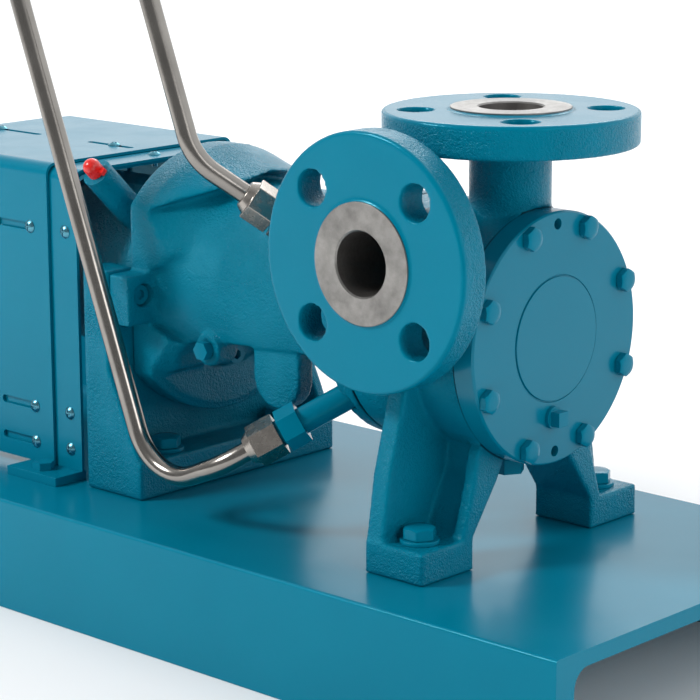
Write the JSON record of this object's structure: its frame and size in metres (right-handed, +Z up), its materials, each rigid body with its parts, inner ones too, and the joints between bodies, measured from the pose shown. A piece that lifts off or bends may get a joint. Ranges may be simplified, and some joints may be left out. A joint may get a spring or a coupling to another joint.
{
  "type": "centrifugal water pump",
  "caption": "Horizontal end-bolted process pump with flanged side suction and top discharge on a channel baseplate, with coupling, guard and seal tubes, less motor.",
  "frame": {"origin": "bottom of the baseplate, in the middle of its length and width", "axes": "+X along the shaft towards the end cover, -Y towards the suction flange, +Z up through the discharge flange"},
  "size_m": [1, 0.3, 0.4623],
  "materials": {
    "teal_paint": "gloss teal enamel over steel",
    "cast_paint": "gloss teal enamel over rough castings",
    "machined_steel": "turned and ground",
    "stainless": "drawn stainless, satin",
    "bronze": "machined bronze",
    "rubber": "moulded",
    "seal_carbon": "lapped",
    "zinc_screws": "plated, bluish",
    "red_plastic": "moulded"
  },
  "bodies": {
    "pump_body": {"base_channel": "teal_paint", "bearing_bracket": "cast_paint", "bearing_cover_screws": "teal_paint", "bearing_end_cover": "teal_paint", "bearing_housing": "cast_paint", "bracket_plug": "teal_paint", "bracket_screws": "teal_paint", "casing_drain_plug": "teal_paint", "cover_bolts": "teal_paint", "cover_o_ring": "rubber", "cover_plug": "teal_paint", "end_cover": "cast_paint", "front_bearing_outer_ring": "machined_steel", "front_liner": "bronze", "front_lip_seal": "rubber", "gland_screws": "stainless", "guard_end_frame": "teal_paint", "guard_feet": "teal_paint", "guard_foot_bolts": "zinc_screws", "guard_pump_end": "teal_paint", "guard_screws": "zinc_screws", "hold_down_bolts": "teal_paint", "hold_down_nuts": "machined_steel", "hold_down_washers": "teal_paint", "housing_screws": "teal_paint", "lower_nipple": "teal_paint", "lower_seal_tube": "stainless", "lower_tube_nut": "stainless", "motor_pads": "teal_paint", "pump_casing": "cast_paint", "rear_bearing_outer_ring": "machined_steel", "rear_liner": "bronze", "rear_lip_seal": "rubber", "rear_pedestal": "cast_paint", "seal_gland": "stainless", "seal_seat": "seal_carbon", "upper_nipple": "stainless", "upper_seal_tube": "stainless", "upper_tube_nut": "stainless"},
    "rotor": {"pump_shaft": "machined_steel", "shaft_keys": "machined_steel", "impeller": "bronze", "impeller_nut": "machined_steel", "shaft_sleeve": "stainless", "seal_rotating_face": "seal_carbon", "seal_spring": "stainless", "seal_drive_collar": "machined_steel", "front_bearing_inner_ring": "machined_steel", "rear_bearing_inner_ring": "machined_steel", "bearing_lock_nut": "machined_steel", "slinger": "machined_steel", "pump_coupling_hub": "machined_steel", "coupling_spider": "rubber", "motor_coupling_hub": "machined_steel"},
    "front_balls": {"front_ball_set": "machined_steel"},
    "rear_balls": {"rear_ball_set": "machined_steel"},
    "oil_cap": {"oil_filler_cap": "red_plastic"},
    "guard_middle_shell": {"guard_middle": "teal_paint"},
    "guard_motor_shell": {"guard_motor_end": "teal_paint", "guard_slide_screws": "zinc_screws"}
  },
  "joints": [
    {"name": "rotor_spin", "type": "hinge", "parent": "pump_body", "child": "rotor", "pos_m": [0, 0, 0.21], "axis": [1, 0, 0], "continuous": true},
    {"name": "front_ball_orbit", "type": "hinge", "parent": "pump_body", "child": "front_balls", "pos_m": [0, 0, 0.21], "axis": [1, 0, 0], "continuous": true},
    {"name": "rear_ball_orbit", "type": "hinge", "parent": "pump_body", "child": "rear_balls", "pos_m": [0, 0, 0.21], "axis": [1, 0, 0], "continuous": true},
    {"name": "oil_cap_pull", "type": "slide", "parent": "pump_body", "child": "oil_cap", "axis": [0, -0.7071, 0.7071], "range_m": [0, 0.012]},
    {"name": "guard_middle_slide", "type": "slide", "parent": "pump_body", "child": "guard_middle_shell", "axis": [1, 0, 0], "range_m": [0, 0.008]},
    {"name": "guard_motor_end_slide", "type": "slide", "parent": "guard_middle_shell", "child": "guard_motor_shell", "axis": [1, 0, 0], "range_m": [0, 0.03]}
  ],
  "couplings": [
    {"joint": "front_ball_orbit", "follows": "rotor_spin", "ratio": 0.38039},
    {"joint": "rear_ball_orbit", "follows": "rotor_spin", "ratio": 0.38039}
  ]
}
